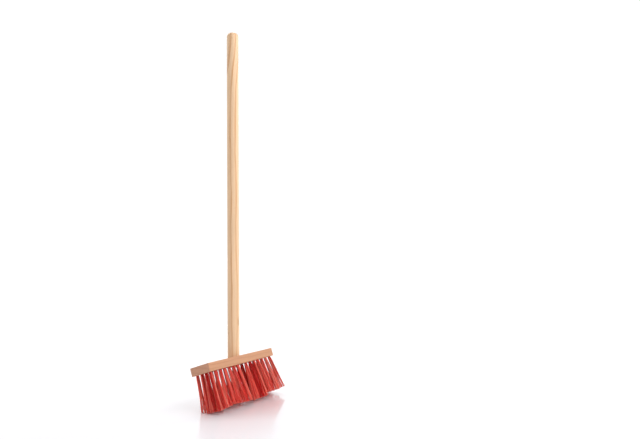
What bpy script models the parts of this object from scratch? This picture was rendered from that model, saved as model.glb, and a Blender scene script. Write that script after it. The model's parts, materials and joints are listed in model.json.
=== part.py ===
"""Children's push broom: a round wooden handle set through a wooden block that carries red tufts.

Metres, +Z up. The handle stands upright along Z and the block runs along X with its front towards -Y.
The bore leans in the block, so under an upright handle the block tips forward, and the broom stands on
the tips of its back rows, at z = 0. The origin lies on the floor under the middle of the whole broom.

The head's own frame has its origin in the middle of the block's top face, with x along the block,
y towards its back and z square out of the top face. A tuft's own frame has the same directions and
its origin at the mouth of its hole.
"""

import math
import random
from typing import NamedTuple

import bmesh
import bpy
from mathutils import Matrix, Vector

# Handle
HANDLE_LENGTH = 0.600
HANDLE_DIAMETER = 0.021
HANDLE_TOP_ROUNDING = 0.007
HANDLE_CROWN = 0.0007
HANDLE_END_CHAMFER = 0.0005
HANDLE_LEAN = math.radians(18.0)
HANDLE_STICKOUT = 0.0013
BORE_FORWARD = 0.001

# Block
BLOCK_LENGTH = 0.190
BLOCK_WIDTH = 0.040
BLOCK_THICKNESS = 0.0145
BLOCK_EDGE_ROUNDING = 0.0008

# Drilling for the tufts
TUFT_COLUMNS = 15
TUFT_ROWS = 4
END_MARGIN = 0.0075
SIDE_MARGIN = 0.006
HOLE_DIAMETER = 0.005
HOLE_FLOOR = 0.0045
BORE_WALL = 0.0014

# Bristles: their length, how much of it the floor bends away under the back of the fan, and how far
# they fan out beyond each side of the block
BRISTLE_LENGTH = 0.065
FLOOR_BEND = 0.006
FAN_OVERHANG = 0.003
RAGGEDNESS = 0.0025
FLOOR_CUT = 0.0005

# Nail from the block's back edge into the handle
NAIL_DIAMETER = 0.0018
NAIL_BITE = 0.010
NAIL_POINT = 0.002
NAIL_HEAD_DIAMETER = 0.004
NAIL_HEAD_THICKNESS = 0.0008

# Gap between neighbouring pieces
FIT = 0.0003

# Facets of the round pieces and of the block's rounded edges
HANDLE_FACETS = 32
ROUNDING_STEPS = 5
EDGE_STEPS = 2
NAIL_FACETS = 12
SHARP_ANGLE = math.radians(40.0)
MERGE_DISTANCE = 0.000001

# Strands of a tuft: how far every other one and the rest reach across its patch of tips, as shares of
# the patch's half size, how much that and their direction scatter, and how many are trimmed shorter
TUFT_STRANDS = 9
OUTER_SHARE = 0.88
INNER_SHARE = 0.56
SCATTER_SHARE = 0.25
TURN_SCATTER = math.radians(6.0)
SHORTER_SHARE = 0.5

# A strand's bend, as shares of its length and spread, and its thickness there and at its tip
BEND_DEPTH_SHARE = 0.5
BEND_SPREAD_SHARE = 0.36
BEND_SCALE = 0.97
TIP_SCALE = 0.94

# Worked out from the sizes above
HANDLE_RADIUS = HANDLE_DIAMETER / 2
BORE_RADIUS = HANDLE_RADIUS + FIT
HOLE_RADIUS = HOLE_DIAMETER / 2
HOLE_DEPTH = BLOCK_THICKNESS - HOLE_FLOOR
HALF_SIDE = math.pi / TUFT_STRANDS
ROOT_RADIUS = HOLE_RADIUS - FIT / math.cos(HALF_SIDE)
ROOT_LENGTH = HOLE_DEPTH - FIT
UNDERSIDE = -BLOCK_THICKNESS
LEAN_SLOPE = math.tan(HANDLE_LEAN)
FAN_LENGTH = BLOCK_LENGTH + 2 * FAN_OVERHANG
FAN_WIDTH = BLOCK_WIDTH + 2 * FAN_OVERHANG


class Place(NamedTuple):
    """Where a tuft is drilled: its column and row, and its hole's middle in the head's frame."""

    column: int
    row: int
    x: float
    y: float


def clear_scene():
    """Remove every object that the scene starts with."""
    for item in list(bpy.data.objects):
        bpy.data.objects.remove(item, do_unlink=True)


def make_material(name, colour, roughness, metallic=0.0):
    """Make a plain Principled material."""
    material = bpy.data.materials.new(name)
    material.use_nodes = True
    shader = material.node_tree.nodes["Principled BSDF"]
    shader.inputs["Base Color"].default_value = (*colour, 1.0)
    shader.inputs["Roughness"].default_value = roughness
    shader.inputs["Metallic"].default_value = metallic
    return material


def make_object(name, bm, material=None, parent=None):
    """Turn a bmesh into a named object in the scene."""
    mesh = bpy.data.meshes.new(name)
    bm.to_mesh(mesh)
    bm.free()
    if material is not None:
        mesh.materials.append(material)
    item = bpy.data.objects.new(name, mesh)
    item.parent = parent
    bpy.context.scene.collection.objects.link(item)
    return item


def make_cutter(name, bm, parent):
    """Make an object that only cuts others and is no piece of the broom."""
    cutter = make_object(name, bm, parent=parent)
    cutter.hide_render = True
    cutter.display_type = "WIRE"
    return cutter


def cut(item, cutter):
    """Cut one object out of another."""
    boolean = item.modifiers.new(cutter.name, "BOOLEAN")
    boolean.operation = "DIFFERENCE"
    boolean.solver = "EXACT"
    boolean.object = cutter


def shade_round(item):
    """Shade the round walls smooth and keep the edges sharp."""
    item.data.shade_smooth()
    item.data.set_sharp_from_angle(angle=SHARP_ANGLE)


def turned(profile, facets):
    """Turn a profile of (radius, height) points about Z, from a point on the axis to another."""
    bm = bmesh.new()
    points = [bm.verts.new((radius, 0.0, height)) for radius, height in profile]
    edges = [bm.edges.new(pair) for pair in zip(points, points[1:])]
    bmesh.ops.spin(
        bm,
        geom=points + edges,
        cent=(0.0, 0.0, 0.0),
        axis=(0.0, 0.0, 1.0),
        angle=math.tau,
        steps=facets,
        use_merge=True,
    )
    bmesh.ops.remove_doubles(bm, verts=bm.verts, dist=MERGE_DISTANCE)
    bmesh.ops.recalc_face_normals(bm, faces=bm.faces)
    return bm


def add_box(bm, centre, size):
    """Add a closed box to a bmesh."""
    place = Matrix.Translation(centre) @ Matrix.Diagonal((*size, 1.0))
    bmesh.ops.create_cube(bm, size=1.0, matrix=place)


def bore_centre(depth):
    """Give the y of the bore's axis in the head's frame, at a depth below the top face."""
    return -BORE_FORWARD + depth * LEAN_SLOPE


def clears_bore(x, y):
    """Say whether a tuft's hole leaves enough wood between itself and the bore."""
    nearest = min(max(y, bore_centre(HOLE_FLOOR)), bore_centre(BLOCK_THICKNESS))
    distance = math.hypot(x, (y - nearest) * math.cos(HANDLE_LEAN))
    return distance - BORE_RADIUS - HOLE_RADIUS >= BORE_WALL


def tuft_places():
    """List the tufts' places; the column over the bore's axis stays empty."""
    column_pitch = (BLOCK_LENGTH - 2 * END_MARGIN) / (TUFT_COLUMNS - 1)
    row_pitch = (BLOCK_WIDTH - 2 * SIDE_MARGIN) / (TUFT_ROWS - 1)
    places = []
    for row in range(TUFT_ROWS):
        for column in range(TUFT_COLUMNS):
            x = (column - (TUFT_COLUMNS - 1) / 2) * column_pitch
            y = (row - (TUFT_ROWS - 1) / 2) * row_pitch
            if abs(x) > HOLE_RADIUS and clears_bore(x, y):
                places.append(Place(column, row, x, y))
    return places


def tip_patch(place, drilled):
    """Give the middle and half size of the patch that a tuft's tips share at the fan's end.

    The patches lie side by side. A tuft beside an empty place spreads over half of that place too.
    """
    strand_half = TIP_SCALE * ROOT_RADIUS * math.cos(HALF_SIDE) / 3
    last_x = (TUFT_COLUMNS - 1) / 2
    last_y = (TUFT_ROWS - 1) / 2
    half_x = (FAN_LENGTH / 2 - strand_half) / (2 * last_x + OUTER_SHARE)
    half_y = (FAN_WIDTH / 2 - strand_half) / (2 * last_y + OUTER_SHARE)
    column, row = place.column, place.row
    left = 2 if column > 0 and (column - 1, row) not in drilled else 1
    right = 2 if column < TUFT_COLUMNS - 1 and (column + 1, row) not in drilled else 1
    middle_x = (2 * (column - last_x) + (right - left) / 2) * half_x
    middle_y = 2 * (row - last_y) * half_y
    return Vector((middle_x, middle_y)), Vector((half_x * (left + right) / 2, half_y))


def tuft_draws(place):
    """Give a tuft's own seeded random draws, and the turn of its root, which they start with."""
    draws = random.Random(place.column + place.row * TUFT_COLUMNS)
    return draws, 2 * HALF_SIDE * draws.random()


def side_corner(radius, index, turn):
    """Give one corner of a root's or a hole's outline, which has one side for each strand."""
    angle = turn + (2 * index - 1) * HALF_SIDE
    return Vector((radius * math.cos(angle), radius * math.sin(angle), 0.0))


def above_floor(place, point):
    """Give how far a point of a tuft lies above the floor that bends the tips, along the head's z."""
    floor_depth = BRISTLE_LENGTH - FLOOR_BEND + LEAN_SLOPE * (FAN_WIDTH / 2 - place.y - point.y)
    return floor_depth + point.z


def strand_rings(place, drilled):
    """Give each strand of a tuft as three rings of three points, in the tuft's frame.

    The root is shared out among the strands as equal sectors. Each strand keeps to its own sector of
    the tuft's patch, and each tuft to its own patch, so no strand crosses another. A strand that the
    floor would bend ends there.
    """
    draws, turn = tuft_draws(place)
    middle, half = tip_patch(place, drilled)
    strands = []
    for index in range(TUFT_STRANDS):
        angle = turn + 2 * index * HALF_SIDE + TURN_SCATTER * (2.0 * draws.random() - 1.0)
        reach = OUTER_SHARE if index % 2 == 0 else INNER_SHARE
        reach *= (1.0 - SCATTER_SHARE * draws.random()) / max(abs(math.cos(angle)), abs(math.sin(angle)))
        shorter = RAGGEDNESS * draws.random() if draws.random() < SHORTER_SHARE else 0.0
        corners = [side_corner(ROOT_RADIUS, corner, turn) for corner in (index, index + 1)]
        root = [Vector(), *corners]
        centre = sum(root, Vector()) / 3
        full = Vector((
            middle.x - place.x + half.x * reach * math.cos(angle),
            middle.y - place.y + half.y * reach * math.sin(angle),
            -BRISTLE_LENGTH,
        ))
        bend = centre.lerp(full, BEND_SPREAD_SHARE)
        bend.z = -BRISTLE_LENGTH * BEND_DEPTH_SHARE
        room = above_floor(place, bend)
        floor_share = room / (room - above_floor(place, full))
        tip = bend.lerp(full, min(floor_share, 1.0 - shorter / (BRISTLE_LENGTH + bend.z)))
        strands.append([
            root,
            [bend + BEND_SCALE * (point - centre) for point in root],
            [tip + TIP_SCALE * (point - centre) for point in root],
        ])
    return strands


def mouth_of(place):
    """Give the middle of a tuft's mouth in the head's frame."""
    return Vector((place.x, place.y, UNDERSIDE))


def to_upright(point):
    """Turn a point of the head's frame to world directions, about the head's origin."""
    return Matrix.Rotation(-HANDLE_LEAN, 3, "X") @ point


def head_origin(tufts):
    """Place the head so that the floor trims the lowest tips and the broom stands over the origin."""
    points = []
    for side in (-1.0, 1.0):
        for depth in (0.0, UNDERSIDE):
            points.append(to_upright(Vector((0.0, side * BLOCK_WIDTH / 2, depth))))
        points.append(Vector((0.0, side * HANDLE_RADIUS - BORE_FORWARD * math.cos(HANDLE_LEAN), 0.0)))
    for place, strands in tufts:
        points += [to_upright(mouth_of(place) + point) for strand in strands for point in strand[-1]]
    lowest = min(point.z for point in points)
    front = min(point.y for point in points)
    back = max(point.y for point in points)
    return Vector((0.0, -(front + back) / 2, -lowest - FLOOR_CUT))


def trim_to_floor(bm, mouth_height):
    """Cut a tuft flat at the floor, which lies this far below the mouth of its hole."""
    up = Matrix.Rotation(HANDLE_LEAN, 3, "X") @ Vector((0.0, 0.0, 1.0))
    bmesh.ops.bisect_plane(
        bm,
        geom=[*bm.verts, *bm.edges, *bm.faces],
        plane_co=-mouth_height * up,
        plane_no=-up,
        clear_outer=True,
    )
    bmesh.ops.holes_fill(bm, edges=[edge for edge in bm.edges if edge.is_boundary])
    bmesh.ops.recalc_face_normals(bm, faces=bm.faces)


def tuft_mesh(strands):
    """Build a tuft: the root that fills its hole, and the strands that fan out of it."""
    bm = bmesh.new()
    middle = bm.verts.new((0.0, 0.0, 0.0))
    mouth = [bm.verts.new(strand[0][1]) for strand in strands]
    deep = [bm.verts.new(corner.co + Vector((0.0, 0.0, ROOT_LENGTH))) for corner in mouth]
    bm.faces.new(deep)
    for index, strand in enumerate(strands):
        following = (index + 1) % len(strands)
        bm.faces.new([mouth[index], mouth[following], deep[following], deep[index]])
        ring = [middle, mouth[index], mouth[following]]
        for points in strand[1:]:
            below = [bm.verts.new(point) for point in points]
            for edge in range(3):
                after = (edge + 1) % 3
                bm.faces.new([below[edge], below[after], ring[after], ring[edge]])
            ring = below
        bm.faces.new(reversed(ring))
    return bm


def nail_profile(gap, overshoot):
    """Give the nail's outline from its point up, or its hole's, wider by a gap and cut through."""
    wall = BLOCK_WIDTH / 2 - bore_centre(BLOCK_THICKNESS / 2) - HANDLE_RADIUS / math.cos(HANDLE_LEAN)
    length = wall + NAIL_BITE
    shank = NAIL_DIAMETER / 2 + gap
    head = NAIL_HEAD_DIAMETER / 2 + gap
    shoulder = -NAIL_HEAD_THICKNESS - gap
    return [
        (0.0, -length - gap),
        (shank, -length + NAIL_POINT),
        (shank, shoulder),
        (head, shoulder),
        (head, overshoot),
        (0.0, overshoot),
    ]


def place_nail(item):
    """Lay a nail, or its hole, square to the block's back edge at the middle of its thickness."""
    item.location = (0.0, BLOCK_WIDTH / 2, UNDERSIDE / 2)
    item.rotation_euler = (-math.pi / 2, 0.0, 0.0)


def add_tuft_hole(bm, place):
    """Add the cutter of one tuft's blind hole, its flats in line with those of the root."""
    turn = tuft_draws(place)[1]
    outline = [mouth_of(place) + side_corner(HOLE_RADIUS, index, turn) for index in range(TUFT_STRANDS)]
    mouth = [bm.verts.new(point - Vector((0.0, 0.0, HOLE_RADIUS))) for point in outline]
    floor = [bm.verts.new(point + Vector((0.0, 0.0, HOLE_DEPTH))) for point in outline]
    bm.faces.new(floor)
    bm.faces.new(reversed(mouth))
    for index in range(TUFT_STRANDS):
        following = (index + 1) % TUFT_STRANDS
        bm.faces.new([mouth[index], mouth[following], floor[following], floor[index]])


def build_block(head, places, material):
    """Build the block with its leaning bore, its tuft holes and its nail hole."""
    bm = bmesh.new()
    add_box(bm, (0.0, 0.0, UNDERSIDE / 2), (BLOCK_LENGTH, BLOCK_WIDTH, BLOCK_THICKNESS))
    block = make_object("block", bm, material, head)
    rounding = block.modifiers.new("edges", "BEVEL")
    rounding.width = BLOCK_EDGE_ROUNDING
    rounding.segments = EDGE_STEPS

    reach = 2 * BLOCK_THICKNESS
    outline = [(0.0, -reach), (BORE_RADIUS, -reach), (BORE_RADIUS, reach), (0.0, reach)]
    bore = make_cutter("bore_cutter", turned(outline, HANDLE_FACETS), head)
    bore.location = (0.0, -BORE_FORWARD, 0.0)
    bore.rotation_euler = (HANDLE_LEAN, 0.0, 0.0)
    cut(block, bore)

    holes_bm = bmesh.new()
    for place in places:
        add_tuft_hole(holes_bm, place)
    cut(block, make_cutter("tuft_hole_cutter", holes_bm, head))
    return block


def build_handle(origin, material):
    """Build the upright handle: square-cut below, rounded over at the top."""
    middle = HANDLE_RADIUS - HANDLE_TOP_ROUNDING
    shoulder = HANDLE_LENGTH - HANDLE_TOP_ROUNDING - HANDLE_CROWN
    profile = [
        (0.0, 0.0),
        (HANDLE_RADIUS - HANDLE_END_CHAMFER, 0.0),
        (HANDLE_RADIUS, HANDLE_END_CHAMFER),
    ]
    for step in range(ROUNDING_STEPS + 1):
        angle = math.pi / 2 * step / ROUNDING_STEPS
        radius = middle + HANDLE_TOP_ROUNDING * math.cos(angle)
        profile.append((radius, shoulder + HANDLE_TOP_ROUNDING * math.sin(angle)))
    profile.append((0.0, HANDLE_LENGTH))
    handle = make_object("handle", turned(profile, HANDLE_FACETS), material)
    below_top = BLOCK_THICKNESS / math.cos(HANDLE_LEAN) + HANDLE_STICKOUT
    handle.location = origin + to_upright(Vector((0.0, -BORE_FORWARD, 0.0)))
    handle.location.z -= below_top
    return handle


def main():
    """Build the broom."""
    clear_scene()
    handle_wood = make_material("handle_wood", (0.80, 0.58, 0.36), 0.45)
    block_wood = make_material("block_wood", (0.72, 0.47, 0.30), 0.55)
    red_bristle = make_material("red_bristle", (0.80, 0.06, 0.04), 0.40)
    steel = make_material("steel", (0.62, 0.62, 0.64), 0.35, 1.0)

    places = tuft_places()
    drilled = {(place.column, place.row) for place in places}
    tufts = [(place, strand_rings(place, drilled)) for place in places]

    head = bpy.data.objects.new("head", None)
    head.location = head_origin(tufts)
    head.rotation_euler = (-HANDLE_LEAN, 0.0, 0.0)
    bpy.context.scene.collection.objects.link(head)

    block = build_block(head, places, block_wood)
    handle = build_handle(head.location, handle_wood)
    shade_round(handle)

    nail = make_object("handle_nail", turned(nail_profile(0.0, 0.0), NAIL_FACETS), steel, head)
    place_nail(nail)
    shade_round(nail)
    nail_hole = make_cutter("nail_hole_cutter", turned(nail_profile(FIT, BLOCK_WIDTH), NAIL_FACETS), head)
    place_nail(nail_hole)
    cut(block, nail_hole)
    cut(handle, nail_hole)

    for place, strands in tufts:
        tuft_bm = tuft_mesh(strands)
        trim_to_floor(tuft_bm, head.location.z + to_upright(mouth_of(place)).z)
        name = f"tuft_row{place.row + 1}_{place.column + 1:02d}"
        tuft = make_object(name, tuft_bm, red_bristle, head)
        tuft.location = mouth_of(place)

    print(f"{len(tufts)} tufts with {len(tufts) * TUFT_STRANDS} strands in all")
    print(f"handle's top at {handle.location.z + HANDLE_LENGTH:.4f} m")


main()
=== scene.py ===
"""Dress the children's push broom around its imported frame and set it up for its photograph.

Metres, in the frame's own axes: +Z up along the handle, X along the block, -Y the broom's front. The
head's frame has its origin in the middle of the block's top face, x along the block, y towards its back
and z square out of the top face.
"""

from __future__ import annotations

import json
import logging
import math
import re
from dataclasses import dataclass
from enum import Enum
from typing import Sequence, Union

import bmesh
import bpy
import numpy as np
from mathutils import Matrix, Vector, noise


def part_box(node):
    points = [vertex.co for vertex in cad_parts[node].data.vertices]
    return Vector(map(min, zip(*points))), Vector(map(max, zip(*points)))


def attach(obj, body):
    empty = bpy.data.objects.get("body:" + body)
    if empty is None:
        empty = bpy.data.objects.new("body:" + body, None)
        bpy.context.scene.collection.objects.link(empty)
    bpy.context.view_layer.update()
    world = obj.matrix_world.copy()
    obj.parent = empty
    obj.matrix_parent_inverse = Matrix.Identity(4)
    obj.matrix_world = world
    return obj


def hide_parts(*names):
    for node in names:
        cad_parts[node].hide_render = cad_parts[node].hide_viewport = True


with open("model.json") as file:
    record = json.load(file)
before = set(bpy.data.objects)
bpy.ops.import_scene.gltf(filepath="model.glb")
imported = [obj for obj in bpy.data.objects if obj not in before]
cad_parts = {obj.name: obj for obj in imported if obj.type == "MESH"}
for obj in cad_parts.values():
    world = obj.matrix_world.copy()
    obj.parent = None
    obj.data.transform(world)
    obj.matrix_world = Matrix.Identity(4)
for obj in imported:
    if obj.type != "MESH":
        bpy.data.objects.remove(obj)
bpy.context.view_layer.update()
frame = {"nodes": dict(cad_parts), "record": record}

BODY = "root"
LOG = logging.getLogger("broom")

# Gap between neighbouring pieces, and how near two points of a turned outline count as one
GAP = 0.0003
MERGE_DISTANCE = 1e-7

Colour = tuple[float, float, float]
Triple = tuple[float, float, float]
Pair = tuple[float, float]
Levels = tuple[Pair, ...]
Body = bmesh.types.BMesh
Material = bpy.types.Material
Object = bpy.types.Object
Socket = bpy.types.NodeSocket
Input = Union[float, Sequence[float], Socket]


class Slot(Enum):
    """The record's material slots."""

    HANDLE_WOOD = "handle_wood"
    BLOCK_WOOD = "block_wood"
    RED_BRISTLE = "red_bristle"
    STEEL = "steel"


class Grain(Enum):
    """The axis of a piece's own frame that its wood grain runs along."""

    X = (1.0, 0.0, 0.0)
    Z = (0.0, 0.0, 1.0)


def rgb(red: int, green: int, blue: int) -> Colour:
    """Turn a display colour of 0 to 255 into a shader's linear values, by the sRGB curve."""
    levels = [value / 255.0 for value in (red, green, blue)]
    return tuple(x / 12.92 if x <= 0.04045 else ((x + 0.055) / 1.055) ** 2.4 for x in levels)


# Shared tools for meshes


def new_object(name: str, shape: Body | bpy.types.Mesh, place: Matrix | None = None) -> Object:
    """Put a shape into the scene as an object.

    Args:
        name: The object's name.
        shape: Its mesh, or the body that becomes its mesh, in the piece's own frame.
        place: Where the piece's frame stands, or None for the frame's own axes.

    Returns:
        The object.
    """
    mesh = shape
    if isinstance(shape, Body):
        mesh = bpy.data.meshes.new(name)
        shape.to_mesh(mesh)
        shape.free()
    item = bpy.data.objects.new(name, mesh)
    item.matrix_world = place or Matrix()
    bpy.context.scene.collection.objects.link(item)
    return item


def turned(profile: Sequence[Pair], sides: int) -> Body:
    """Turn an outline about Z.

    Args:
        profile: The outline's (radius, height) points, from a point on the axis to another.
        sides: How many sides the round has.

    Returns:
        The closed body.
    """
    bm = bmesh.new()
    points = [bm.verts.new((radius, 0.0, height)) for radius, height in profile]
    edges = [bm.edges.new(pair) for pair in zip(points, points[1:])]
    turn = {"cent": (0.0, 0.0, 0.0), "axis": (0.0, 0.0, 1.0), "angle": math.tau, "steps": sides}
    bmesh.ops.spin(bm, geom=points + edges, use_merge=True, **turn)
    bmesh.ops.remove_doubles(bm, verts=bm.verts, dist=MERGE_DISTANCE)
    bmesh.ops.recalc_face_normals(bm, faces=bm.faces)
    return bm


def arc(centre: Pair, radius: float, start: float, end: float, steps: int) -> list[Pair]:
    """List the points of an arc between two angles in degrees, both ends among them."""
    angles = [math.radians(start + (end - start) * step / steps) for step in range(steps + 1)]
    return [(centre[0] + radius * math.cos(a), centre[1] + radius * math.sin(a)) for a in angles]


def carve(item: Object, body: Body, place: Matrix) -> None:
    """Cut a body out of a piece for good.

    Args:
        item: The piece.
        body: The body to cut out.
        place: Where the body's frame stands.
    """
    cutter = new_object("cutter", body, place)
    cut = item.modifiers.new("cut", "BOOLEAN")
    cut.operation = "DIFFERENCE"
    cut.solver = "EXACT"
    cut.object = cutter
    bpy.context.view_layer.update()
    result = item.evaluated_get(bpy.context.evaluated_depsgraph_get())
    mesh = bpy.data.meshes.new_from_object(result)
    item.modifiers.clear()
    item.data = mesh
    bpy.data.objects.remove(cutter, do_unlink=True)


def shade(item: Object, sharp: float) -> None:
    """Shade a piece smooth, with sharp edges above an angle.

    Args:
        item: The piece.
        sharp: The angle in degrees.
    """
    item.data.shade_smooth()
    item.data.set_sharp_from_angle(angle=math.radians(sharp))
    weighted = item.modifiers.new("normals", "WEIGHTED_NORMAL")
    weighted.keep_sharp = True


def present(item: Object, finish: Material, slot: Slot, *nodes: str) -> None:
    """Give a piece its finish, and let it ride on the broom in the place of CAD nodes.

    Args:
        item: The piece.
        finish: Its material.
        slot: The record's slot that the finish belongs to. It is not used.
        *nodes: The CAD nodes that it stands for.
    """
    item.data.materials.clear()
    item.data.materials.append(finish)
    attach(item, BODY)
    if nodes:
        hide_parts(*nodes)
    stands_for = ", ".join(nodes) or "itself"
    LOG.info("%s: %d faces, stands for %s", item.name, len(item.data.polygons), stands_for)


# Finishes


class Graph:
    """The node graph of a material or a world, built by short calls."""

    def __init__(self, owner: Material | bpy.types.World, shader: str = "Principled BSDF") -> None:
        """Start the graph.

        Args:
            owner: The material or the world.
            shader: The name of its shader.
        """
        owner.use_nodes = True
        self.owner = owner
        self.tree = owner.node_tree
        self.shader = self.tree.nodes[shader]

    def feed(self, socket: Socket, value: Input) -> None:
        """Link a socket to another one, or set its value.

        Args:
            socket: The input socket.
            value: An output socket, or a constant.
        """
        if isinstance(value, Socket):
            self.tree.links.new(value, socket)
        elif socket.type == "RGBA" and len(value) == 3:
            socket.default_value = (*value, 1.0)
        else:
            socket.default_value = value

    def add(self, kind: str, inputs: dict[str | int, Input], **settings: object) -> bpy.types.Node:
        """Add a node.

        Args:
            kind: The node's type.
            inputs: Its inputs by name or number.
            **settings: Its other settings.

        Returns:
            The node.
        """
        node = self.tree.nodes.new(kind)
        for name, value in settings.items():
            setattr(node, name, value)
        for key, value in inputs.items():
            self.feed(node.inputs[key], value)
        return node

    def where(self) -> Socket:
        """Give the place on the piece, in the piece's own frame and in metres."""
        return self.add("ShaderNodeTexCoord", {}).outputs["Object"]

    def facing(self, axis: Triple) -> Socket:
        """Give how squarely the surface faces along an axis of the piece, from 0 to 1."""
        normal = self.add("ShaderNodeTexCoord", {}).outputs["Normal"]
        return self.maths("ABSOLUTE", self.vector("DOT_PRODUCT", normal, axis))

    def attribute(self, name: str) -> Socket:
        """Give a number that the mesh carries for each of its points."""
        return self.add("ShaderNodeAttribute", {}, attribute_name=name).outputs["Fac"]

    def maths(self, operation: str, *values: Input) -> Socket:
        """Do arithmetic on numbers."""
        return self.add("ShaderNodeMath", dict(enumerate(values)), operation=operation).outputs[0]

    def vector(self, operation: str, *values: Input) -> Socket:
        """Do arithmetic on vectors, which gives a number for a length or a dot product."""
        node = self.add("ShaderNodeVectorMath", dict(enumerate(values)), operation=operation)
        return node.outputs["Value" if operation in ("LENGTH", "DOT_PRODUCT") else "Vector"]

    def about(self, mean: float, amount: float, level: Input) -> Socket:
        """Give a number from an amount below its mean to that amount above it, by a level of 0 to 1."""
        return self.maths("MULTIPLY_ADD", level, 2.0 * amount, mean - amount)

    def smooth_step(self, value: Input, span: Pair, first: float, last: float) -> Socket:
        """Give a number that goes smoothly from the first to the last while a value crosses a span."""
        inputs = {"Value": value, "From Min": span[0], "From Max": span[1], "To Min": first, "To Max": last}
        return self.add("ShaderNodeMapRange", inputs, interpolation_type="SMOOTHSTEP").outputs["Result"]

    def noise(self, place: Input, frequency: Triple, detail: float = 2.0) -> Socket:
        """Give smooth noise, 0 to 1 about a mean of 0.5, by its frequency along each axis, per metre."""
        inputs = {"Vector": self.vector("MULTIPLY", place, frequency), "Scale": 1.0, "Detail": detail}
        return self.add("ShaderNodeTexNoise", inputs).outputs["Fac"]

    def ramp(self, factor: Input, *stops: tuple[float, Input]) -> Socket:
        """Turn a number into a level or a colour.

        Args:
            factor: The number.
            *stops: Places from 0 to 1, each with its level or its colour.

        Returns:
            The colour, which also serves as a level.
        """
        node = self.add("ShaderNodeValToRGB", {"Fac": factor})
        elements = node.color_ramp.elements
        while len(elements) < len(stops):
            elements.new(0.5)
        for element, (place, value) in zip(elements, stops):
            element.position = place
            element.color = (value, value, value, 1.0) if isinstance(value, float) else (*value, 1.0)
        return node.outputs["Color"]

    def mix(self, factor: Input, first: Input, second: Input, blend: str = "MIX") -> Socket:
        """Mix two colours, by the share of the second one."""
        inputs = {0: factor, 6: first, 7: second}
        return self.add("ShaderNodeMix", inputs, data_type="RGBA", blend_type=blend).outputs[2]

    def tint(self, colour: Input, level: Input, amount: float) -> Socket:
        """Make a colour darker or lighter by up to a share of itself, by a level of 0 to 1."""
        inputs = {0: colour, "Scale": self.about(1.0, amount, level)}
        return self.add("ShaderNodeVectorMath", inputs, operation="SCALE").outputs["Vector"]

    def finish(self, colour: Input, roughness: Input, height: Input, depth: float, **others: Input) -> None:
        """Wire the shader of a material.

        Args:
            colour: The base colour.
            roughness: The roughness.
            height: The relief of the surface, 0 to 1.
            depth: How deep that relief is, in metres.
            **others: Other inputs of the shader, with underscores for spaces.
        """
        bump = self.add("ShaderNodeBump", {"Height": height, "Distance": depth, "Strength": 1.0})
        others |= {"Base Color": colour, "Roughness": roughness, "Normal": bump.outputs["Normal"]}
        for name, value in others.items():
            self.feed(self.shader.inputs[name.replace("_", " ")], value)


@dataclass(frozen=True)
class Knot:
    """A pin knot: where it lies on a piece, and how far it reaches across and along the grain."""

    centre: Triple
    across: float
    along: float


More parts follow.
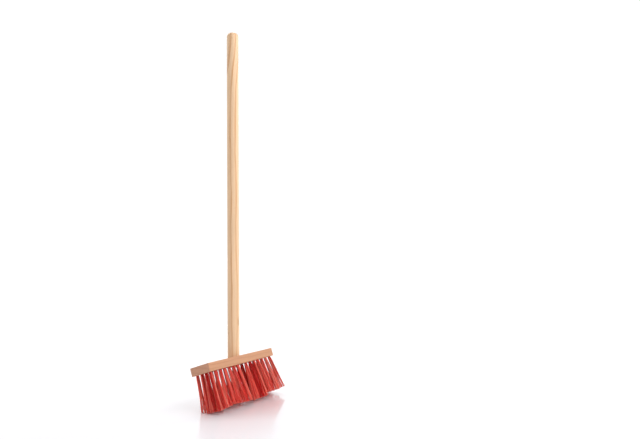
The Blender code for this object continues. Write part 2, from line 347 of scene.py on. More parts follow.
@dataclass(frozen=True)
class Wood:
    """A plain wood: growth rings round a pith line, fibres along it, short flecks and end grain.

    A scale is how often a pattern changes across the grain and along it, per metre, a strength is a share
    of the colour's own brightness, and levels are places from 0 to 1 with their values.
    """

    name: str
    grain: Grain
    early: Colour
    late: Colour
    end: Colour
    pith: Triple
    ring_width: float
    ring_drift: float
    ring_wave: float
    ring_strength: float
    fibre_strength: float
    fleck_strength: float
    roughness: float
    coat: float
    swell: Triple = (0.0, 1.0, 0.0)
    knots: tuple[Knot, ...] = ()
    knot_colour: Colour = rgb(150, 92, 52)
    patch_strength: float = 0.10
    pore_strength: float = 0.40
    end_ring_strength: float = 0.40
    uneven_shine: float = 0.08
    wave_scale: Pair = (42.0, 9.0)
    patch_scale: Pair = (70.0, 11.0)
    fibre_scale: Pair = (1500.0, 26.0)
    fleck_scale: Pair = (2600.0, 190.0)
    pore_scale: Pair = (2400.0, 2400.0)
    ring_levels: Levels = ((0.0, 0.0), (0.55, 0.10), (0.88, 1.0), (1.0, 0.0))
    fleck_levels: Levels = ((0.60, 0.0), (0.70, 1.0))
    knot_levels: Levels = ((0.0, 0.0), (0.5, 0.6), (1.0, 0.85))
    end_levels: Levels = ((0.62, 0.0), (0.86, 1.0))

    def stretch(self, across: float, along: float) -> Triple:
        """Give a frequency that differs across and along the grain."""
        return tuple(along if axis else across for axis in self.grain.value)

    def knot_mask(self, graph: Graph, where: Input) -> Input:
        """Give how near a place is to a knot.

        Args:
            graph: The graph to build in.
            where: The place.

        Returns:
            1 at a knot's heart, falling to 0 outside it.
        """
        mask: Input = 0.0
        for knot in self.knots:
            offset = graph.vector("SUBTRACT", where, knot.centre)
            reach = graph.vector("MULTIPLY", offset, self.stretch(1.0 / knot.across, 1.0 / knot.along))
            near = graph.maths("SUBTRACT", 1.0, graph.vector("LENGTH", reach))
            mask = graph.maths("MAXIMUM", mask, near)
        return mask

    def rings(self, graph: Graph, where: Input, knot: Input) -> Socket:
        """Give the growth rings.

        Args:
            graph: The graph to build in.
            where: The place.
            knot: How near a knot is, 0 to 1.

        Returns:
            0 in early wood, rising to 1 in late wood and falling back sharply.
        """
        offset = graph.vector("SUBTRACT", where, self.pith)
        distance = graph.vector("LENGTH", graph.vector("MULTIPLY", offset, self.stretch(1.0, 0.0)))
        wave = graph.maths("SUBTRACT", graph.noise(where, self.stretch(*self.wave_scale)), 0.5)
        drift = graph.vector("DOT_PRODUCT", where, self.stretch(0.0, self.ring_drift))
        path = graph.maths("ADD", graph.maths("MULTIPLY_ADD", wave, self.ring_wave, distance), drift)
        height = graph.vector("DOT_PRODUCT", where, self.grain.value)
        swell = graph.smooth_step(height, self.swell[:2], 0.0, self.swell[2])
        path = graph.maths("SUBTRACT", path, swell)
        path = graph.maths("MULTIPLY_ADD", knot, self.ring_width, path)
        phase = graph.maths("FRACT", graph.maths("DIVIDE", path, self.ring_width))
        return graph.ramp(phase, *self.ring_levels)

    def material(self) -> Material:
        """Build the wood's material.

        Returns:
            The material.
        """
        graph = Graph(bpy.data.materials.new(self.name))
        where = graph.where()
        knot = self.knot_mask(graph, where)
        patches = graph.noise(where, self.stretch(*self.patch_scale))
        strength = graph.maths("MULTIPLY", patches, 2.0 * self.ring_strength)
        ring = graph.maths("MULTIPLY", self.rings(graph, where, knot), strength)
        colour = graph.mix(ring, self.early, self.late)
        colour = graph.tint(colour, patches, self.patch_strength)
        fibres = graph.noise(where, self.stretch(*self.fibre_scale), detail=4.0)
        colour = graph.tint(colour, fibres, self.fibre_strength)
        strokes = graph.noise(where, self.stretch(*self.fleck_scale), detail=1.0)
        flecks = graph.maths("MULTIPLY", graph.ramp(strokes, *self.fleck_levels), self.fleck_strength)
        colour = graph.mix(flecks, colour, self.late, "MULTIPLY")
        if self.knots:
            colour = graph.mix(graph.ramp(knot, *self.knot_levels), colour, self.knot_colour)
        pores = graph.noise(where, self.stretch(*self.pore_scale))
        end_ring = graph.maths("MULTIPLY", ring, self.end_ring_strength)
        end_colour = graph.mix(end_ring, self.end, self.late, "MULTIPLY")
        end_colour = graph.tint(end_colour, pores, self.pore_strength)
        ends = graph.ramp(graph.facing(self.grain.value), *self.end_levels)
        graph.finish(
            graph.mix(ends, colour, end_colour),
            graph.about(self.roughness, self.uneven_shine, fibres),
            graph.mix(ends, fibres, pores),
            depth=0.00006,
            Specular_IOR_Level=0.25,
            Coat_Weight=self.coat,
            Coat_Roughness=0.30,
            Coat_IOR=1.5,
        )
        return graph.owner


@dataclass(frozen=True)
class RedPlastic:
    """The filaments' red plastic, which each filament shows a little lighter or darker."""

    deep: tuple[float, Colour] = (0.08, rgb(190, 14, 12))
    middle: tuple[float, Colour] = (0.42, rgb(255, 87, 74))
    light: tuple[float, Colour] = (0.90, rgb(255, 148, 130))
    # The colour that the few outermost filaments at the right end are drawn in, near white
    near_white: Colour = rgb(240, 226, 216)
    cut_end: Colour = rgb(252, 120, 98)
    cut_levels: Levels = ((0.975, 0.0), (0.995, 0.45))
    mottle_scale: Triple = (900.0, 900.0, 120.0)
    mottle_strength: float = 0.12
    roughness: float = 0.30
    uneven_shine: float = 0.10

    def material(self) -> Material:
        """Build the plastic's material.

        Returns:
            The material.
        """
        graph = Graph(bpy.data.materials.new("red_filament"))
        colour = graph.ramp(graph.attribute("shade"), self.deep, self.middle, self.light)
        mottle = graph.noise(graph.where(), self.mottle_scale)
        colour = graph.tint(colour, mottle, self.mottle_strength)
        cut = graph.ramp(graph.attribute("along"), *self.cut_levels)
        colour = graph.mix(cut, colour, self.cut_end)
        graph.finish(
            graph.mix(graph.attribute("whiteness"), colour, self.near_white),
            graph.about(self.roughness, self.uneven_shine, mottle),
            mottle,
            depth=0.00002,
            Subsurface_Weight=0.25,
            Subsurface_Scale=0.0006,
            Specular_IOR_Level=0.22,
            IOR=1.49,
        )
        return graph.owner


@dataclass(frozen=True)
class BrightSteel:
    """Bright wire steel, with fine scratches and a few dull spots."""

    colour: Colour = rgb(206, 206, 204)
    dull: Colour = rgb(140, 134, 126)
    spot_scale: Triple = (1500.0, 1500.0, 1500.0)
    spot_levels: Levels = ((0.52, 0.0), (0.70, 1.0))
    scratch_scale: Triple = (6000.0, 6000.0, 700.0)
    scratch_strength: float = 0.08
    roughness: float = 0.30
    dull_roughness: float = 0.25

    def material(self) -> Material:
        """Build the steel's material.

        Returns:
            The material.
        """
        graph = Graph(bpy.data.materials.new("bright_steel"))
        where = graph.where()
        spots = graph.ramp(graph.noise(where, self.spot_scale, detail=3.0), *self.spot_levels)
        scratches = graph.noise(where, self.scratch_scale)
        colour = graph.tint(graph.mix(spots, self.colour, self.dull), scratches, self.scratch_strength)
        roughness = graph.maths("MULTIPLY_ADD", spots, self.dull_roughness, self.roughness)
        graph.finish(colour, roughness, scratches, depth=0.00001, Metallic=1.0)
        return graph.owner


@dataclass(frozen=True)
class GlossyWhite:
    """The studio table's white sheet, whose gloss grows with the distance from a dull spot."""

    colour: Colour = (0.840, 0.838, 0.862)
    haze_scale: Triple = (9.0, 9.0, 9.0)
    haze_strength: float = 0.01
    roughness: float = 0.24
    uneven_shine: float = 0.02
    dull_spot: Triple = (-0.400, -0.290, 0.0)
    gloss_levels: Levels = ((0.28, 0.05), (0.36, 0.20), (0.41, 0.65), (0.47, 1.0))

    def material(self) -> Material:
        """Build the sheet's material.

        Returns:
            The material.
        """
        graph = Graph(bpy.data.materials.new("glossy_white"))
        where = graph.where()
        haze = graph.noise(where, self.haze_scale, detail=3.0)
        off_spot = graph.vector("LENGTH", graph.vector("SUBTRACT", where, self.dull_spot))
        graph.finish(
            graph.tint(self.colour, haze, self.haze_strength),
            graph.about(self.roughness, self.uneven_shine, haze),
            haze,
            depth=0.00005,
            IOR=1.5,
            Specular_IOR_Level=0.2,
            Coat_Weight=graph.ramp(off_spot, *self.gloss_levels),
            Coat_IOR=1.6,
            Coat_Roughness=0.05,
        )
        return graph.owner


# The broom


@dataclass(frozen=True)
class Head:
    """The head's place: its origin in the frame, and how far the head leans forward."""

    origin: Vector
    lean: float

    @classmethod
    def from_record(cls, record: dict) -> Head:
        """Read the head's place off the mounts on the block's top face.

        Args:
            record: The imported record.

        Returns:
            The head's place.
        """
        left, right = (
            next(mount for mount in record["mounts"] if mount["name"] == name)
            for name in ("head_top_left", "head_top_right")
        )
        origin = (Vector(left["pos_m"]) + Vector(right["pos_m"])) / 2
        return cls(origin, math.atan2(left["axis"][1], left["axis"][2]))

    def matrix(self) -> Matrix:
        """Give the matrix that takes the head's frame to the frame's own axes."""
        return Matrix.Translation(self.origin) @ Matrix.Rotation(-self.lean, 4, "X")


@dataclass
class Handle:
    """The round wooden handle: square-cut below, rounded over and slightly crowned at the top."""

    length: float = 0.600
    radius: float = 0.0105
    top_rounding: float = 0.007
    crown: float = 0.0007
    crown_rings: Triple = (0.6, 0.3, 0.0)
    end_chamfer: float = 0.0005
    sides: int = 96
    rings: int = 90
    rounding_steps: int = 14
    unevenness: float = 0.00005
    uneven_scale: Pair = (90.0, 14.0)
    sharp: float = 30.0

    def profile(self) -> list[Pair]:
        """List the outline from the middle of the lower end to the middle of the top.

        Returns:
            Its (radius, height) points.
        """
        shoulder = self.length - self.top_rounding - self.crown
        lowest = self.end_chamfer
        heights = [lowest + (shoulder - lowest) * step / self.rings for step in range(self.rings)]
        inner = self.radius - self.top_rounding
        return [
            (0.0, 0.0),
            (self.radius - self.end_chamfer, 0.0),
            *((self.radius, height) for height in heights),
            *arc((inner, shoulder), self.top_rounding, 0.0, 90.0, self.rounding_steps),
            *((inner * share, self.length - self.crown * share**2) for share in self.crown_rings),
        ]

    def build(self, block: Block, nail: Nail, finish: Material) -> None:
        """Build the handle.

        Args:
            block: The block, which holds it.
            nail: The nail, whose hole it has.
            finish: Its wood.
        """
        bm = turned(self.profile(), self.sides)
        across, along = self.uneven_scale
        for vert in bm.verts:
            spread = Vector((vert.co.x, vert.co.y, 0.0))
            if spread.length > self.radius / 2:
                probe = Vector((vert.co.x * across, vert.co.y * across, vert.co.z * along))
                vert.co += spread.normalized() * self.unevenness * noise.noise(probe)
        head = block.head
        depth = head.origin.y - block.bore_forward * math.cos(head.lean)
        origin = Vector((0.0, depth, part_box("handle")[0].z))
        handle = new_object("handle_stick", bm, Matrix.Translation(origin))
        carve(handle, nail.hole(), nail.place())
        shade(handle, self.sharp)
        present(handle, finish, Slot.HANDLE_WOOD, "handle")


@dataclass
class Nail:
    """The steel nail from the block's back edge into the handle.

    Its own frame has its origin in the middle of its head, flush with the edge, and z out of the block.
    The blunt tip is a radius and a length, and the dish in the head is radii with their depths.
    """

    block: Block
    radius: float = 0.0009
    length: float = 0.0176
    point: float = 0.002
    blunt_tip: Pair = (0.000225, 0.0006)
    head_radius: float = 0.002
    head_thickness: float = 0.0008
    rim: float = 0.0002
    dish: Levels = ((0.0009, 0.00004), (0.0, 0.00007))
    sides: int = 40
    sharp: float = 40.0

    def place(self) -> Matrix:
        """Give where the nail's frame stands."""
        spot = Matrix.Translation((0.0, self.block.width / 2, -self.block.thickness / 2))
        return self.block.head.matrix() @ spot @ Matrix.Rotation(-math.pi / 2, 4, "X")

    def hole(self) -> Body:
        """Build the nail's hole, wider than the nail by the gap, and open at the block's back edge.

        Returns:
            The hole's body.
        """
        shank = self.radius + GAP
        wide = self.head_radius + GAP
        shoulder = -self.head_thickness - GAP
        outline = [
            (0.0, -self.length - GAP),
            (shank, -self.length + self.point),
            (shank, shoulder),
            (wide, shoulder),
            (wide, self.block.width),
            (0.0, self.block.width),
        ]
        return turned(outline, self.sides)

    def build(self, finish: Material) -> None:
        """Build the nail.

        Args:
            finish: Its steel.
        """
        flat = self.head_radius - self.rim
        outline = [
            (0.0, -self.length),
            (self.blunt_tip[0], -self.length + self.blunt_tip[1]),
            (self.radius, -self.length + self.point),
            (self.radius, -self.head_thickness - self.rim),
            (self.radius + self.rim, -self.head_thickness),
            (flat, -self.head_thickness),
            *arc((flat, -self.head_thickness + self.rim), self.rim, -60.0, 0.0, 3),
            *arc((flat, -self.rim), self.rim, 0.0, 90.0, 4),
            *((radius, -depth) for radius, depth in self.dish),
        ]
        nail = new_object("nail", turned(outline, self.sides), self.place())
        shade(nail, self.sharp)
        present(nail, finish, Slot.STEEL, "handle_nail")


@dataclass
class Block:
    """The wooden block, with the handle's leaning bore, the tufts' blind holes and the nail's hole."""

    head: Head
    length: float = 0.190
    width: float = 0.040
    thickness: float = 0.0145
    edge: float = 0.0008
    edge_steps: int = 4
    bore_forward: float = 0.001
    bore_sides: int = 96
    hole_sides: int = 24
    sharp: float = 35.0

    def bore(self, radius: float) -> tuple[Body, Matrix]:
        """Build the bore and give where it stands.

        Args:
            radius: Its radius.

        Returns:
            The bore's body and its matrix.
        """
        reach = self.thickness * 2
        outline = [(0.0, -reach), (radius, -reach), (radius, reach), (0.0, reach)]
        upright = Matrix.Rotation(self.head.lean, 4, "X")
        place = self.head.matrix() @ Matrix.Translation((0.0, -self.bore_forward, 0.0)) @ upright
        return turned(outline, self.bore_sides), place

    def tuft_holes(self, tufts: Sequence[Tuft]) -> Body:
        """Build the bodies of all the tufts' holes, in the head's frame.

        Args:
            tufts: The tufts.

        Returns:
            The holes' bodies.
        """
        bm = bmesh.new()
        for tuft in tufts:
            depth = tuft.hole_depth + tuft.hole_radius
            middle = tuft.mouth + Vector((0.0, 0.0, tuft.hole_depth - depth / 2))
            size = {"radius1": tuft.hole_radius, "radius2": tuft.hole_radius, "depth": depth}
            place = Matrix.Translation(middle)
            bmesh.ops.create_cone(bm, cap_ends=True, segments=self.hole_sides, matrix=place, **size)
        return bm

    def build(self, handle: Handle, tufts: Sequence[Tuft], nail: Nail, finish: Material) -> None:
        """Build the block.

        Args:
            handle: The handle, whose bore it has.
            tufts: The tufts, whose holes it has.
            nail: The nail, whose hole it has.
            finish: Its wood.
        """
        bm = bmesh.new()
        size = Matrix.Diagonal((self.length, self.width, self.thickness, 1.0))
        middle = Matrix.Translation((0.0, 0.0, -self.thickness / 2))
        bmesh.ops.create_cube(bm, size=1.0, matrix=middle @ size)
        rounding = {"offset": self.edge, "segments": self.edge_steps, "profile": 0.5}
        bmesh.ops.bevel(bm, geom=bm.edges[:], affect="EDGES", **rounding)
        block = new_object("block_wood_body", bm, self.head.matrix())
        carve(block, self.tuft_holes(tufts), self.head.matrix())
        carve(block, *self.bore(handle.radius + GAP))
        carve(block, nail.hole(), nail.place())
        shade(block, self.sharp)
        present(block, finish, Slot.BLOCK_WOOD, "block")


@dataclass
class Tuft:
    """One tuft: filaments folded over a steel strip in a blind hole, both their ends out of its mouth.

    Its own frame has the head's directions and its origin in the middle of the hole's mouth. That place,
    the patch that its tips share and the bounds that they keep are given in the head's frame.
    """

    head: Head
    node: str
    mouth: Vector
    patch_middle: Vector
    patch_half: Vector
    low: Pair
    high: Pair
    sway: float
    length: float
    waist: float
    seed: int
    # How many of its filaments, those whose tips reach furthest right, are drawn near white
    near_white: int

    # The hole and the filaments in it: the wall and strip shares are of their thickness, the lane share is
    # of the spacing
    hole_radius: float = 0.0025
    hole_depth: float = 0.010
    thickness: float = 0.00055
    sides: int = 5
    spacing: float = 0.00056
    wall_share: float = 0.55
    strip_share: float = 0.8
    lane_share: float = 0.87
    fold_angles: tuple[float, ...] = (0.0, 45.0, 90.0, 135.0, 180.0)

    # The tips: how they fill the patch, gather in clumps and scatter
    fill: Pair = (0.76, 0.88)
    fill_spread: float = 0.14
    tilt: float = 0.0012
    clumps: int = 5
    clump_turn: float = 2.4
    clump_scatter: float = 0.08
    clump_pull: float = 0.58
    gather_scatter: float = 0.0008
    scatter: float = 0.0007
    stray_share: float = 0.08
    stray_reach: float = 4.0
    ragged: float = 0.0005
    shorter_share: float = 0.04
    shorter_by: float = 0.003

    # The way down: its points as shares of the length, its bow, its flare at the mouth and its waves
    steps: tuple[float, ...] = (1.0, 0.88, 0.74, 0.57, 0.40, 0.24, 0.11, 0.035, 0.0)
    bow: float = 0.05
    flare: float = 0.0008
    flare_rise: float = 25.0
    waist_scatter: float = 0.05
    wave_turns: Pair = (2.0, 5.0)
    wave_depth: float = 0.0005

    # How much the red differs between tufts, clumps and filaments
    tuft_shades: float = 0.08
    clump_shades: float = 0.19
    filament_shades: float = 0.19

    def __post_init__(self) -> None:
        """Seed the tuft's own random draws and turn its strip."""
        self.draws = np.random.default_rng(self.seed)
        self.turn = self.draws.uniform(0.0, math.tau)

    def room_in_hole(self) -> float:
        """Give how far from the hole's middle a filament's own middle may lie."""
        return self.hole_radius - self.wall_share * self.thickness

    def fold_height(self) -> float:
        """Give how far above the mouth the filaments turn round the strip."""
        return self.hole_depth - self.hole_radius - GAP

    def folded(self) -> np.ndarray:
        """Lay the filaments out side by side in one half of the hole.

        Returns:
            The (distance from the strip, place along the strip) of each filament.
        """
        limit = self.room_in_hole()
        places = []
        lane = 0
        while (off := self.strip_share * self.thickness + lane * self.spacing * self.lane_share) < limit:
            reach = math.sqrt(limit**2 - off**2)
            shift = self.spacing / 2 * (lane % 2)
            count = int((reach + shift) / self.spacing)
            row = [index * self.spacing - shift for index in range(-count, count + 1 + lane % 2)]
            places += [(off, along) for along in row if abs(along) <= reach]
            lane += 1
        return np.array(places)

    def tips(self, roots: np.ndarray) -> tuple[np.ndarray, np.ndarray]:
        """Spread the filaments' ends over the tuft's patch, drawn together in clumps.

        Args:
            roots: The ends' places at the mouth.

        Returns:
            Their tips' places across the tuft, and the clump that each one belongs to.
        """
        unit = roots / self.room_in_hole()
        stretch = np.linalg.norm(unit, axis=1) / np.maximum(np.abs(unit).max(axis=1), 1e-6)
        square = unit * stretch[:, None]
        middle = np.array(self.patch_middle - self.mouth.xy)
        middle = middle + self.draws.normal(0.0, self.tilt, 2)
        fill = np.array(self.fill) * (1.0 + self.draws.uniform(-self.fill_spread, self.fill_spread, 2))
        tips = middle + square * np.array(self.patch_half) * fill
        angle = np.arange(self.clumps) * self.clump_turn + self.draws.uniform(0.0, math.tau)
        radius = np.sqrt((np.arange(self.clumps) + 0.5) / self.clumps)
        seeds = np.stack([radius * np.cos(angle), radius * np.sin(angle)], axis=1)
        seeds += self.draws.normal(0.0, self.clump_scatter, seeds.shape)
        clump = np.linalg.norm(unit[:, None] - seeds[None], axis=2).argmin(axis=1)
        for index in range(self.clumps):
            members = clump == index
            if members.any():
                gather = tips[members].mean(axis=0) + self.draws.normal(0.0, self.gather_scatter, 2)
                tips[members] += (gather - tips[members]) * self.clump_pull
        tips += self.draws.normal(0.0, self.scatter, tips.shape)
        stray = self.draws.random(len(tips)) < self.stray_share
        tips[stray] += self.draws.normal(0.0, self.stray_reach * self.scatter, (stray.sum(), 2))
        tips[:, 0] += self.sway
        mouth = np.array(self.mouth.xy)
        return np.clip(tips + mouth, self.low, self.high) - mouth, clump

    def ends(self, roots: np.ndarray, tips: np.ndarray) -> np.ndarray:
        """Route each end from its tip, above the floor, to the mouth.

        Args:
            roots: The ends' places at the mouth.
            tips: Their tips' places across the tuft.

        Returns:
            The points of each end.
        """
        count = len(roots)
        length = self.length - np.abs(self.draws.normal(0.0, self.ragged, count))
        shorter = self.draws.random(count) < self.shorter_share
        length -= shorter * self.draws.uniform(0.0, self.shorter_by, count)
        down, forward = math.cos(self.head.lean), math.sin(self.head.lean)
        height = self.head.origin.z + down * self.mouth.z
        depth = self.mouth.y + tips[:, 1]
        length = np.minimum(length, (height - forward * depth - self.thickness / 4) / down)

        steps = np.array(self.steps)
        hump = 4.0 * steps * (1.0 - steps)
        axis = tips.mean(axis=0) * (steps + self.bow * hump)[:, None]
        drawn_in = self.draws.normal(-self.waist, self.waist_scatter, (count, 1))
        spread = (steps + drawn_in * hump)[..., None]
        bell = self.flare / self.hole_radius * (1.0 - np.exp(-self.flare_rise * steps)) * (1.0 - steps)
        path = np.empty((count, len(steps), 3))
        path[:, :, :2] = axis + roots[:, None] * (1.0 - spread)
        path[:, :, :2] += (tips - tips.mean(axis=0))[:, None] * spread
        path[:, :, :2] += roots[:, None] * bell[:, None]
        path[:, :, 2] = -length[:, None] * steps
        turns = self.draws.uniform(*self.wave_turns, (count, 1))
        phase = self.draws.uniform(0.0, math.tau, (count, 1))
        wave = self.draws.normal(0.0, self.wave_depth, (count, 1)) * hump * np.sin(turns * steps + phase)
        heading = self.draws.uniform(0.0, math.tau, count)
        path[:, :, 0] += wave * np.cos(heading)[:, None]
        path[:, :, 1] += wave * np.sin(heading)[:, None]
        return path

    def paths(self) -> tuple[np.ndarray, np.ndarray, np.ndarray]:
        """Route each filament from one tip, round its fold in the hole, to its other tip.

        Returns:
            The points of each path, how far each point is along from the mouth to its tip, and the
            clump of each filament's first end.
        """
        folded = self.folded()
        count = len(folded)
        across = np.array([math.cos(self.turn), math.sin(self.turn)])
        along = np.array([-across[1], across[0]])
        sides = [side * folded[:, :1] * across + folded[:, 1:] * along for side in (1.0, -1.0)]
        roots = np.concatenate(sides)
        tips, clump = self.tips(roots)
        ends = self.ends(roots, tips)
        angles = np.radians(self.fold_angles)
        folds = np.empty((count, len(angles), 3))
        folds[:, :, :2] = (folded[:, :1] * np.cos(angles))[..., None] * across
        folds[:, :, :2] += (folded[:, 1:] * along)[:, None]
        folds[:, :, 2] = self.fold_height() + folded[:, :1] * np.sin(angles)
        points = np.concatenate([ends[:count], folds, ends[count:, ::-1]], axis=1)
        share = np.concatenate([self.steps, np.zeros(len(angles)), self.steps[::-1]])
        return points, share, clump[:count]

    def mesh(self) -> bpy.types.Mesh:
        """Build the tuft's mesh, with each filament's shade on its points.

        Returns:
            The mesh, level with the frame's own axes and with its origin at the mouth.
        """
        points, share, clump = self.paths()
        count, rings = points.shape[:2]
        level = np.array(self.head.matrix().to_3x3()).T
        points = points @ level
        strip = np.array([-math.sin(self.turn), math.cos(self.turn), 0.0]) @ level
        tangent = np.gradient(points, axis=1)
        tangent /= np.linalg.norm(tangent, axis=2, keepdims=True)
        side = strip - (tangent @ strip)[..., None] * tangent
        side /= np.linalg.norm(side, axis=2, keepdims=True)
        other = np.cross(tangent, side)
        angles = np.arange(self.sides) * math.tau / self.sides
        ring = np.cos(angles)[:, None] * side[:, :, None] + np.sin(angles)[:, None] * other[:, :, None]
        verts = points[:, :, None] + ring * self.thickness / 2

        index = np.arange(count * rings * self.sides).reshape(count, rings, self.sides)
        after = np.roll(index, -1, axis=2)
        walls = np.stack([index[:, :-1], after[:, :-1], after[:, 1:], index[:, 1:]], axis=3)
        faces = walls.reshape(-1, 4).tolist() + index[:, 0, ::-1].tolist() + index[:, -1].tolist()
        mesh = bpy.data.meshes.new(self.node + "_filaments")
        mesh.from_pydata(verts.reshape(-1, 3).tolist(), [], faces)
        mesh.polygons.foreach_set("use_smooth", np.arange(len(faces)) < walls[..., 0].size)

        tuft_shade = self.draws.normal(0.0, self.tuft_shades)
        clump_shade = self.draws.normal(0.0, self.clump_shades, self.clumps)
        filament_shade = self.draws.normal(0.0, self.filament_shades, count)
        shades = np.clip(0.5 + tuft_shade + clump_shade[clump] + filament_shade, 0.0, 1.0)
        # The filaments whose tips reach furthest right are drawn near white
        whiteness = np.zeros(count)
        whiteness[np.argsort(-points[:, :, 0].max(axis=1))[: self.near_white]] = 1.0
        for name, value in (("shade", shades[:, None]), ("whiteness", whiteness[:, None]), ("along", share)):
            layer = mesh.attributes.new(name, "FLOAT", "POINT")
            values = np.broadcast_to(value, (count, rings)).ravel()
            layer.data.foreach_set("value", np.repeat(values, self.sides))
        return mesh

    def build(self, finish: Material) -> None:
        """Build the tuft.

        Args:
            finish: Its plastic.
        """
        place = Matrix.Translation(self.head.matrix() @ self.mouth)
        tuft = new_object(self.node + "_filaments", self.mesh(), place)
        present(tuft, finish, Slot.RED_BRISTLE, self.node)


@dataclass
class Bristles:
    """All the tufts, and the steel strips that pin them in their holes."""

    block: Block
    columns: int = 15
    rows: int = 4
    end_margin: float = 0.0075
    side_margin: float = 0.006

    # The fan: its reach past the block, its lean to the right at both ends, how far the end tufts and
    # single filaments stand out, and how far tufts lean over an empty place
    overhang: float = 0.003
    lean_left: float = 0.0022
    lean_right: float = 0.0048
    end_spill: float = 0.0012
    spill: float = 0.0005
    lean_in: float = 0.0016

    # The tufts' waists, slim in the columns at the left end, and the near-white outermost filaments at the
    # right end
    slim_columns: int = 6
    waist_left: float = 0.24
    waist_right: float = 0.07
    near_white_rows: int = 2
    near_white: int = 5

    # The tufts' lengths by column from the left end, as the photograph's lower outline has them
    length_spread: float = 0.0006
    lengths: tuple[float, ...] = (
        0.0650, 0.0640, 0.0620, 0.0620, 0.0635, 0.0640, 0.0650, 0.0655,
        0.0665, 0.0670, 0.0660, 0.0615, 0.0610, 0.0610, 0.0615,
    )

    # The steel strips
    strip_width: float = 0.0047
    strip_height: float = 0.002
    strip_thickness: float = 0.0003
    strip_nip: float = 0.00025

    def tuft(self, drilled: dict[tuple[int, int], str], column: int, row: int) -> Tuft:
        """Lay out one tuft. Where the place beside it is empty, it spreads over half of that place.

        Args:
            drilled: The tuft nodes' names by column and row.
            column: The tuft's column.
            row: The tuft's row.

        Returns:
            The tuft.
        """
        block = self.block
        last = Vector(((self.columns - 1) / 2, (self.rows - 1) / 2))
        span = Vector((block.length / 2 - self.end_margin, block.width / 2 - self.side_margin))
        reach = (block.length / 2 + self.overhang, block.width / 2 + self.overhang)
        half = Vector((reach[0] / (2 * last.x + 1), reach[1] / (2 * last.y + 1)))
        step = Vector((column, row)) - last
        left = 2 if column > 0 and (column - 1, row) not in drilled else 1
        right = 2 if column < self.columns - 1 and (column + 1, row) not in drilled else 1
        middle = Vector((2 * step.x * half.x + (right - left) / 2 * half.x, 2 * step.y * half.y))
        middle.x += (right - left) * self.lean_in
        if abs(step.x) == last.x:
            middle.x += math.copysign(self.end_spill, step.x)
        share = column / (self.columns - 1)
        seed = 1 + column + row * self.columns
        at_right_end = column == self.columns - 1 and row < self.near_white_rows
        return Tuft(
            head=block.head,
            node=drilled[column, row],
            mouth=Vector((step.x / last.x * span.x, step.y / last.y * span.y, -block.thickness)),
            patch_middle=middle,
            patch_half=Vector((half.x * (left + right) / 2, half.y)),
            low=(self.spill - reach[0], -self.spill - reach[1]),
            high=(self.spill + reach[0] + self.lean_right, self.spill + reach[1]),
            sway=self.lean_left + (self.lean_right - self.lean_left) * share,
            length=self.lengths[column] + np.random.default_rng(seed).normal(0.0, self.length_spread),
            waist=self.waist_left if column < self.slim_columns else self.waist_right,
            seed=seed,
            near_white=self.near_white if at_right_end else 0,
        )

    def tufts(self) -> list[Tuft]:
        """Lay out a tuft for each tuft node of the frame.

        Returns:
            The tufts.
        """
        drilled = {}
        for name in sorted(frame["nodes"]):
            if found := re.fullmatch(r"tuft_row(\d)_(\d\d)", name):
                drilled[int(found[2]) - 1, int(found[1]) - 1] = name
        return [self.tuft(drilled, column, row) for column, row in drilled]

    def strips(self, tufts: Sequence[Tuft], finish: Material) -> None:
        """Build the steel strips as one piece, each across its hole in the fold of its filaments.

        Args:
            tufts: The tufts.
            finish: Their steel.
        """
        bm = bmesh.new()
        wide, tall, nip = self.strip_width / 2, self.strip_height / 2, self.strip_nip
        outline = [
            (wide, tall - nip), (wide - nip, tall), (nip - wide, tall), (-wide, tall - nip),
            (-wide, nip - tall), (nip - wide, -tall), (wide - nip, -tall), (wide, nip - tall),
        ]
        for tuft in tufts:
            place = Matrix.Translation(tuft.mouth + Vector((0.0, 0.0, tuft.fold_height() - tall)))
            place = place @ Matrix.Rotation(tuft.turn + math.pi / 2, 4, "Z")
            sides = []
            for off in (-self.strip_thickness / 2, self.strip_thickness / 2):
                sides.append([bm.verts.new(place @ Vector((x, off, z))) for x, z in outline])
            bm.faces.new(sides[0])
            bm.faces.new(reversed(sides[1]))
            for index in range(len(outline)):
                after = (index + 1) % len(outline)
                bm.faces.new([sides[0][after], sides[0][index], sides[1][index], sides[1][after]])
        bmesh.ops.recalc_face_normals(bm, faces=bm.faces)
        present(new_object("tuft_strips", bm, self.block.head.matrix()), finish, Slot.STEEL)


# The studio


@dataclass(frozen=True)
class SoftBox:
    """A soft box: where it hangs, what it points at, its size, and its glow as a share of white."""

    name: str
    at: Triple
    aim: Triple
    size: Pair
    glow: float

    def hang(self) -> None:
        """Hang it in the studio."""
        data = bpy.data.lights.new(self.name, "AREA")
        data.shape = "RECTANGLE"
        data.size, data.size_y = self.size
        data.energy = self.glow * math.pi * self.size[0] * self.size[1]
        lamp = bpy.data.objects.new(self.name, data)
        lamp.location = self.at
        lamp.rotation_euler = (Vector(self.aim) - Vector(self.at)).to_track_quat("-Z", "Y").to_euler()
        bpy.context.scene.collection.objects.link(lamp)


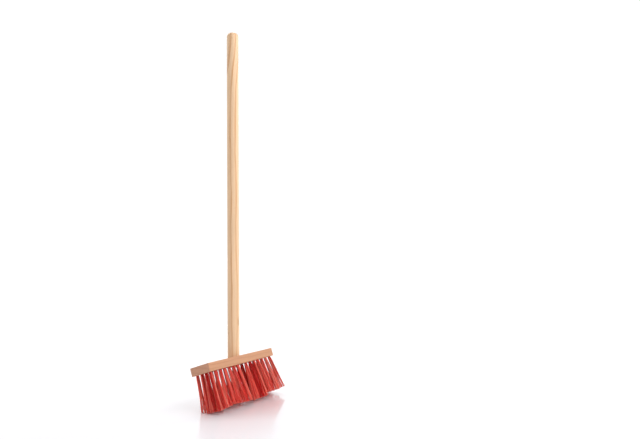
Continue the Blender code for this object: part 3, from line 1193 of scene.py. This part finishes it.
@dataclass
class Studio:
    """The white table, the pale room with its soft boxes, and the camera.

    The band is how high up, from 0 to 1, the room's light fades from the horizon's to the ceiling's. The
    camera sees the plain backdrop instead.
    """

    floor_half: float = 30.0
    floor_parts: int = 8
    horizon: float = 1.25
    ceiling: float = 0.46
    band: Pair = (0.15, 0.40)
    backdrop: float = 1.06
    room_tint: Colour = (0.985, 0.985, 1.0)
    soft_boxes: tuple[SoftBox, ...] = (
        SoftBox("key", (0.16, -1.60, 1.55), (0.0, 0.0, 0.25), (2.2, 1.1), 3.8),
        SoftBox("side", (1.30, -0.17, 0.72), (0.0, 0.0, 0.10), (0.8, 0.8), 2.0),
        SoftBox("back", (0.45, 0.90, 1.50), (0.0, 0.0, 0.05), (1.6, 1.2), 3.0),
    )
    camera_at: Triple = (-0.981, -0.7071, 0.2663)
    camera_azimuth: float = -61.068
    camera_elevation: float = -2.58
    camera_roll: float = -0.507
    focal_pixels: float = 675.0
    image_width: int = 640
    sensor: float = 36.0
    clip: Pair = (0.05, 100.0)

    def floor(self) -> None:
        """Lay the white sheet on the table."""
        bm = bmesh.new()
        parts = self.floor_parts
        bmesh.ops.create_grid(bm, x_segments=parts, y_segments=parts, size=self.floor_half)
        floor = new_object("floor", bm)
        floor.data.materials.append(GlossyWhite().material())

    def room(self) -> None:
        """Light the room softly: a bright band round the horizon, and dimmer light above it."""
        world = bpy.data.worlds.new("studio")
        bpy.context.scene.world = world
        graph = Graph(world, "Background")
        way = graph.add("ShaderNodeTexCoord", {}).outputs["Generated"]
        height = graph.add("ShaderNodeSeparateXYZ", {0: way}).outputs["Z"]
        level = graph.smooth_step(height, self.band, self.horizon, self.ceiling)
        seen = graph.add("ShaderNodeLightPath", {}).outputs["Is Camera Ray"]
        strength = graph.add("ShaderNodeMix", {0: seen, 2: level, 3: self.backdrop}).outputs[0]
        graph.feed(graph.shader.inputs["Color"], self.room_tint)
        graph.feed(graph.shader.inputs["Strength"], strength)

    def camera(self) -> None:
        """Stand the camera where the photograph was taken from."""
        azimuth, elevation = math.radians(self.camera_azimuth), math.radians(self.camera_elevation)
        level = math.cos(elevation)
        back = Vector((math.sin(azimuth) * level, -math.cos(azimuth) * level, math.sin(elevation)))
        right = Vector((0.0, 0.0, 1.0)).cross(back).normalized()
        turn = Matrix((right, back.cross(right), back)).transposed().to_4x4()
        roll = Matrix.Rotation(math.radians(self.camera_roll), 4, "Z")
        data = bpy.data.cameras.new("camera")
        data.sensor_width = self.sensor
        data.lens = self.focal_pixels / self.image_width * self.sensor
        data.clip_start, data.clip_end = self.clip
        camera = bpy.data.objects.new("camera", data)
        camera.matrix_world = Matrix.Translation(self.camera_at) @ turn @ roll
        bpy.context.scene.collection.objects.link(camera)
        bpy.context.scene.camera = camera

    def build(self) -> None:
        """Set up the whole studio."""
        self.camera()
        self.floor()
        self.room()
        for soft_box in self.soft_boxes:
            soft_box.hang()
        bpy.context.scene.view_settings.view_transform = "Standard"
        LOG.info("studio: camera, floor, room and %d soft boxes", len(self.soft_boxes))


HANDLE_WOOD = Wood(
    name="pale_handle_wood",
    grain=Grain.Z,
    early=rgb(238, 202, 163),
    late=rgb(203, 147, 97),
    end=rgb(210, 163, 117),
    pith=(-0.048, 0.030, 0.0),
    ring_width=0.0088,
    ring_drift=0.004,
    ring_wave=0.0075,
    ring_strength=0.70,
    fibre_strength=0.07,
    fleck_strength=0.12,
    roughness=0.46,
    coat=0.12,
    swell=(0.46, 0.60, 0.011),
    knots=(
        Knot((-0.0002, -0.0104, 0.080), 0.0012, 0.0110),
        Knot((-0.0099, 0.0033, 0.060), 0.0008, 0.0020),
    ),
)

BLOCK_WOOD = Wood(
    name="brown_block_wood",
    grain=Grain.X,
    early=rgb(202, 149, 114),
    late=rgb(170, 110, 77),
    end=rgb(203, 152, 124),
    pith=(0.0, 0.030, -0.105),
    ring_width=0.0075,
    ring_drift=0.025,
    ring_wave=0.0110,
    ring_strength=0.36,
    fibre_strength=0.06,
    fleck_strength=0.14,
    roughness=0.60,
    coat=0.0,
)


def main() -> None:
    """Build the studio and the broom, piece by piece."""
    logging.basicConfig(level=logging.INFO, format="%(name)s: %(message)s")
    Studio().build()
    handle = Handle()
    block = Block(Head.from_record(frame["record"]))
    nail = Nail(block)
    bristles = Bristles(block)
    tufts = bristles.tufts()
    steel = BrightSteel().material()
    handle.build(block, nail, HANDLE_WOOD.material())
    block.build(handle, tufts, nail, BLOCK_WOOD.material())
    nail.build(steel)
    bristles.strips(tufts, steel)
    plastic = RedPlastic().material()
    for tuft in tufts:
        tuft.build(plastic)


if __name__ == "__main__":
    main()
